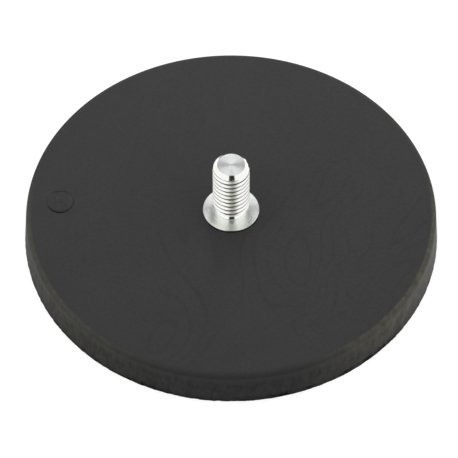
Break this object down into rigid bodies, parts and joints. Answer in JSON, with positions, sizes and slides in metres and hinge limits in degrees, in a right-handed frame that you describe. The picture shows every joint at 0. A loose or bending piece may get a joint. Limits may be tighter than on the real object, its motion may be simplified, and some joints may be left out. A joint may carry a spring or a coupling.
{
  "type": "pot magnet",
  "caption": "Flat round pot magnet with a black rubber jacket and a bright threaded stud standing on a flange in the middle of its back.",
  "frame": {"origin": "centre of the magnetic face, on the surface that the part holds to", "axes": "+Z runs along the stud, away from the magnetic face; the round mould mark lies towards -X"},
  "size_m": [0.088, 0.088, 0.024],
  "materials": {
    "black_rubber": "matt moulded rubber",
    "zinc_plated_steel": "bright zinc plating over turned steel",
    "plain_steel": "plain stamped steel",
    "nickel_plated_magnet": "nickel plated"
  },
  "bodies": {
    "root": {"rubber_jacket": "black_rubber", "threaded_stud": "zinc_plated_steel", "steel_plate": "plain_steel", "magnet_01": "nickel_plated_magnet", "magnet_02": "nickel_plated_magnet", "magnet_03": "nickel_plated_magnet", "magnet_04": "nickel_plated_magnet", "magnet_05": "nickel_plated_magnet", "magnet_06": "nickel_plated_magnet", "magnet_07": "nickel_plated_magnet", "magnet_08": "nickel_plated_magnet", "magnet_09": "nickel_plated_magnet", "magnet_10": "nickel_plated_magnet", "magnet_11": "nickel_plated_magnet", "magnet_12": "nickel_plated_magnet", "magnet_13": "nickel_plated_magnet", "magnet_14": "nickel_plated_magnet", "magnet_15": "nickel_plated_magnet", "magnet_16": "nickel_plated_magnet", "magnet_17": "nickel_plated_magnet", "magnet_18": "nickel_plated_magnet"}
  },
  "joints": []
}
